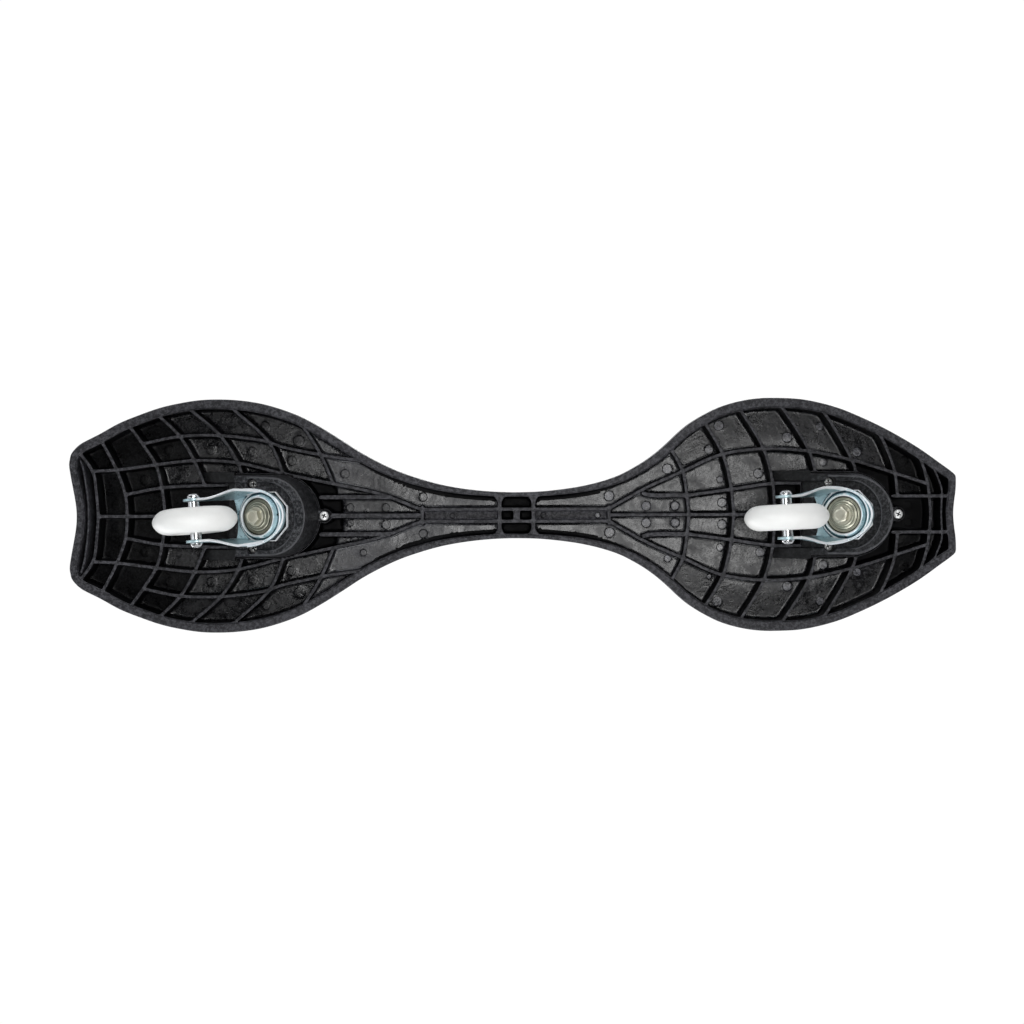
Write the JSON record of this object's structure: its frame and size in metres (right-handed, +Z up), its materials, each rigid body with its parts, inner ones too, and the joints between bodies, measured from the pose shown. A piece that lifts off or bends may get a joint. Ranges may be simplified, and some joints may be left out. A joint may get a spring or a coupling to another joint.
{
  "type": "caster board",
  "caption": "Two-wheeled caster board: hourglass moulded deck with a twisting neck, ribbed underneath, riding on raked swivel casters with inline wheels.",
  "frame": {"origin": "centre of the bounding box at floor level, between the two wheels", "axes": "+X along the board to its nose, +Y to the rider's left when facing the nose, +Z up; wheels stand on z = 0"},
  "size_m": [0.8216, 0.2162, 0.13],
  "materials": {
    "moulding": "fine-textured black moulded polymer",
    "zinc": "bright zinc plate with a faint blue tint",
    "passivated": "straw-yellow passivated zinc",
    "steel": "bright nickel-plated steel",
    "race": "ground bearing steel",
    "urethane": "off-white cast urethane, satin",
    "core": "white moulded polymer"
  },
  "bodies": {
    "rear_deck_half": {"deck_rear": "moulding", "rear_wedge": "moulding", "rear_wedge_screw_left": "steel", "rear_wedge_screw_right": "steel", "rear_wedge_screw_front": "steel", "rear_base_plate": "zinc", "rear_upper_race": "race", "rear_cup_washer": "passivated", "rear_kingpin_washer": "passivated", "rear_swivel_bush": "race", "rear_kingpin": "passivated", "rear_kingpin_nut": "passivated"},
    "front_deck_half": {"deck_front": "moulding", "front_wedge": "moulding", "front_wedge_screw_left": "steel", "front_wedge_screw_right": "steel", "front_wedge_screw_front": "steel", "front_base_plate": "zinc", "front_upper_race": "race", "front_cup_washer": "passivated", "front_kingpin_washer": "passivated", "front_swivel_bush": "race", "front_kingpin": "passivated", "front_kingpin_nut": "passivated"},
    "rear_fork_set": {"rear_fork": "zinc", "rear_ball_ring": "race", "rear_bearing_sleeve": "steel", "rear_spacer_left": "steel", "rear_spacer_right": "steel", "rear_axle_bolt": "steel", "rear_axle_nut": "steel"},
    "front_fork_set": {"front_fork": "zinc", "front_ball_ring": "race", "front_bearing_sleeve": "steel", "front_spacer_left": "steel", "front_spacer_right": "steel", "front_axle_bolt": "steel", "front_axle_nut": "steel"},
    "rear_wheel": {"rear_tyre": "urethane", "rear_hub": "core", "rear_bearing_left": "race", "rear_bearing_right": "race"},
    "front_wheel": {"front_tyre": "urethane", "front_hub": "core", "front_bearing_left": "race", "front_bearing_right": "race"}
  },
  "joints": [
    {"name": "deck_twist", "type": "hinge", "parent": "rear_deck_half", "child": "front_deck_half", "pos_m": [0.0037, 0, 0.114], "axis": [1, 0, 0], "range_deg": [-18, 18], "stiffness_Nm_per_rad": 40},
    {"name": "rear_swivel", "type": "hinge", "parent": "rear_deck_half", "child": "rear_fork_set", "pos_m": [-0.2318, 0, 0.05683], "axis": [0.5, 0, 0.866], "continuous": true},
    {"name": "front_swivel", "type": "hinge", "parent": "front_deck_half", "child": "front_fork_set", "pos_m": [0.2991, 0, 0.05682], "axis": [0.5, 0, 0.866], "continuous": true},
    {"name": "rear_wheel_spin", "type": "hinge", "parent": "rear_fork_set", "child": "rear_wheel", "pos_m": [-0.28496, 0.0032, 0.03787], "axis": [0.0755, 0.9962, -0.0436], "continuous": true},
    {"name": "front_wheel_spin", "type": "hinge", "parent": "front_fork_set", "child": "front_wheel", "pos_m": [0.24586, 0.00186, 0.03791], "axis": [0.0438, 0.9987, -0.0253], "continuous": true}
  ]
}
